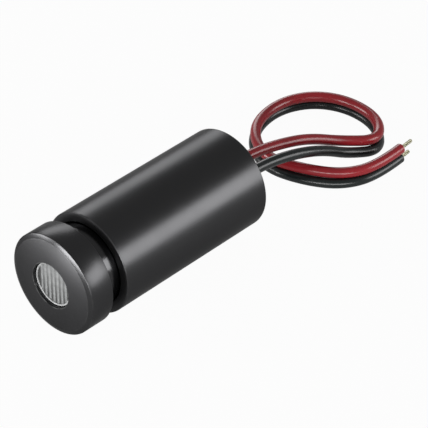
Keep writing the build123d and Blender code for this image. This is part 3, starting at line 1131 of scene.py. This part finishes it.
class LASER_OT_electronics(Operator):
    """Gives the diode, the driver board and what is on it their finishes"""

    bl_idname = "laser_module.electronics"
    bl_label = "Diode and driver"

    def execute(self, context):
        gold = metal_material("gold_plate", (0.86, 0.66, 0.30), roughness=0.20, grain=9000.0, tarnish=0.05)
        give_nodes(gold, "diode_header", "diode_pins")
        can = metal_material("nickel_can", (0.70, 0.68, 0.62), roughness=0.18, grain=9000.0, tarnish=0.05)
        give_nodes(can, "diode_cap")
        ceramic = matt_material("white_ceramic", (0.80, 0.80, 0.76), roughness=0.45, grain=12000.0)
        give_nodes(ceramic, "submount")
        crystal = metal_material("crystal", (0.22, 0.22, 0.26), roughness=0.16, grain=12000.0, tarnish=0.04)
        give_nodes(crystal, "laser_chip", "monitor_photodiode")
        beads = glass_material("bead_glass", (0.10, 0.16, 0.14), roughness=0.08, clearness=0.4, ior=1.52)
        give_nodes(beads, "diode_glass_seals")
        mask = (0.03, 0.20, 0.09)
        board = matt_material("board_mask", mask, roughness=0.32, grain=2600.0, depth=0.006 * MM)
        give_nodes(board, "driver_board")
        moulding = matt_material("chip_moulding", (0.022, 0.022, 0.023), roughness=0.48, grain=7000.0)
        give_nodes(moulding, "driver_chip", "protection_diode")
        solder = metal_material("solder_tin", (0.66, 0.66, 0.63), roughness=0.3, grain=6000.0, tarnish=0.12)
        give_nodes(solder, "driver_chip_legs", "solder_joints", "lead_inner_ends")
        film = matt_material("resistor_film", (0.05, 0.05, 0.06), roughness=0.30, grain=8000.0)
        give_nodes(film, "resistors")
        tan = matt_material("capacitor_ceramic", (0.42, 0.30, 0.18), roughness=0.42, grain=8000.0)
        give_nodes(tan, "capacitors")
        return {"FINISHED"}


class LASER_OT_rear_plug(Operator):
    """Gives the plug in the rear end its finish"""

    bl_idname = "laser_module.rear_plug"
    bl_label = "Rear plug"

    def execute(self, context):
        black = (0.020, 0.020, 0.021)
        plug = matt_material("plug_moulding", black, roughness=0.55, grain=3000.0, depth=0.02 * MM)
        give_nodes(plug, "rear_plug")
        return {"FINISHED"}


class LASER_OT_stage(Operator):
    """Lays the floor and sets the room and the soft boxes"""

    bl_idname = "laser_module.stage"
    bl_label = "Stage"

    def execute(self, context):
        scene = context.scene
        studio = scene.laser_studio
        self.floor(scene)
        self.room(scene)
        self.soft_box(scene, "key_box", (0.200, -0.222, 0.036), (0.40, 0.07), studio.key_power)
        self.soft_box(scene, "front_box", (-0.040, -0.308, 0.034), (0.19, 0.09), studio.front_power)
        self.soft_box(scene, "left_box", (-0.245, -0.205, 0.052), (0.14, 0.11), studio.left_power)
        self.soft_box(scene, "side_box", (0.255, 0.195, 0.080), (0.20, 0.15), studio.side_power)
        self.soft_box(scene, "rim_box", (-0.262, 0.216, 0.130), (0.18, 0.15), studio.rim_power)
        scene.view_settings.view_transform = "Standard"
        return {"FINISHED"}

    def floor(self, scene):
        """A bench with a faint shadow, nearly white in view and a dim white in polished pieces."""
        half_size = 3.0
        gap = 0.01 * MM
        white_in_mirrors = 0.22
        white_in_view = 0.96
        bm = bmesh.new()
        bmesh.ops.create_grid(bm, x_segments=1, y_segments=1, size=half_size)
        bmesh.ops.translate(bm, verts=bm.verts, vec=(0, 0, CAD_BOX[0][2] - gap))
        floor = finish_mesh(bm, "bench")
        material, tree, shader = new_material("bench_paint")
        shader.inputs["Base Color"].default_value = (*scene.laser_colours.floor, 1.0)
        shader.inputs["Roughness"].default_value = 0.9
        shader.inputs["Specular IOR Level"].default_value = 0.0
        grain = noise(tree, object_point(tree), scale=900.0)
        relief(tree, shader, grain, strength=0.05, distance=0.01 * MM)
        ray = tree.nodes.new("ShaderNodeLightPath").outputs
        mirrored = math_node(tree, "MAXIMUM", ray["Is Glossy Ray"], ray["Is Transmission Ray"])
        mirrored = math_node(tree, "MULTIPLY", mirrored, white_in_mirrors)
        direct = math_node(tree, "MULTIPLY", ray["Is Camera Ray"], white_in_view)
        glow = tree.nodes.new("ShaderNodeEmission")
        glow.inputs["Color"].default_value = (1.0, 1.0, 1.0, 1.0)
        glow.inputs["Strength"].default_value = 1.0
        mix = tree.nodes.new("ShaderNodeMixShader")
        tree.links.new(math_node(tree, "MAXIMUM", mirrored, direct), mix.inputs["Fac"])
        tree.links.new(shader.outputs["BSDF"], mix.inputs[1])
        tree.links.new(glow.outputs["Emission"], mix.inputs[2])
        tree.links.new(mix.outputs["Shader"], tree.nodes["Material Output"].inputs["Surface"])
        give(floor, material)

    def room(self, scene):
        """An even white room, fully white where the camera looks straight at it."""
        world = bpy.data.worlds.new("room")
        scene.world = world
        world.use_nodes = True
        tree = world.node_tree
        background = tree.nodes["Background"]
        background.inputs["Color"].default_value = (1.0, 1.0, 1.0, 1.0)
        seen = tree.nodes.new("ShaderNodeLightPath").outputs["Is Camera Ray"]
        lift = ramp(tree, seen, 0.0, 1.0, scene.laser_studio.world_strength, 1.0)
        tree.links.new(lift, background.inputs["Strength"])

    def soft_box(self, scene, name, place, size, power):
        """An area lamp turned towards the module."""
        data = bpy.data.lights.new(name, "AREA")
        data.shape = "RECTANGLE"
        data.size, data.size_y = size
        data.energy = power
        lamp = bpy.data.objects.new(name, data)
        scene.collection.objects.link(lamp)
        lamp.location = place
        lamp.rotation_euler = (-Vector(place)).to_track_quat("-Z", "Y").to_euler()


class LASER_PT_module(Panel):
    """Lists the pieces and their settings"""

    bl_idname = "LASER_PT_module"
    bl_label = "Laser diode module"
    bl_space_type = "VIEW_3D"
    bl_region_type = "UI"
    bl_category = "Laser"

    def draw(self, context):
        layout = self.layout
        scene = context.scene
        for label, settings in (
            ("Sizes", scene.laser_sizes),
            ("Colours", scene.laser_colours),
            ("Studio", scene.laser_studio),
        ):
            box = layout.box()
            box.label(text=label)
            for name in settings.__annotations__:
                box.prop(settings, name)
        column = layout.column(align=True)
        for operator in STEPS:
            column.operator(operator.bl_idname)


STEPS = (
    LASER_OT_camera,
    LASER_OT_leads,
    LASER_OT_barrel,
    LASER_OT_focusing_head,
    LASER_OT_line_lens,
    LASER_OT_optics,
    LASER_OT_focus_spring,
    LASER_OT_rear_plug,
    LASER_OT_electronics,
    LASER_OT_stage,
)
SETTINGS = (LaserSizes, LaserColours, LaserStudio)


def register():
    for kind in SETTINGS + STEPS + (LASER_PT_module,):
        bpy.utils.register_class(kind)
    bpy.types.Scene.laser_sizes = PointerProperty(type=LaserSizes)
    bpy.types.Scene.laser_colours = PointerProperty(type=LaserColours)
    bpy.types.Scene.laser_studio = PointerProperty(type=LaserStudio)


def unregister():
    del bpy.types.Scene.laser_studio
    del bpy.types.Scene.laser_colours
    del bpy.types.Scene.laser_sizes
    for kind in reversed(SETTINGS + STEPS + (LASER_PT_module,)):
        bpy.utils.unregister_class(kind)


def main():
    register()
    bpy.ops.laser_module.camera()
    bpy.ops.laser_module.leads()
    bpy.ops.laser_module.barrel()
    bpy.ops.laser_module.focusing_head()
    bpy.ops.laser_module.line_lens()
    bpy.ops.laser_module.optics()
    bpy.ops.laser_module.focus_spring()
    bpy.ops.laser_module.rear_plug()
    bpy.ops.laser_module.electronics()
    bpy.ops.laser_module.stage()


if __name__ == "__main__":
    main()
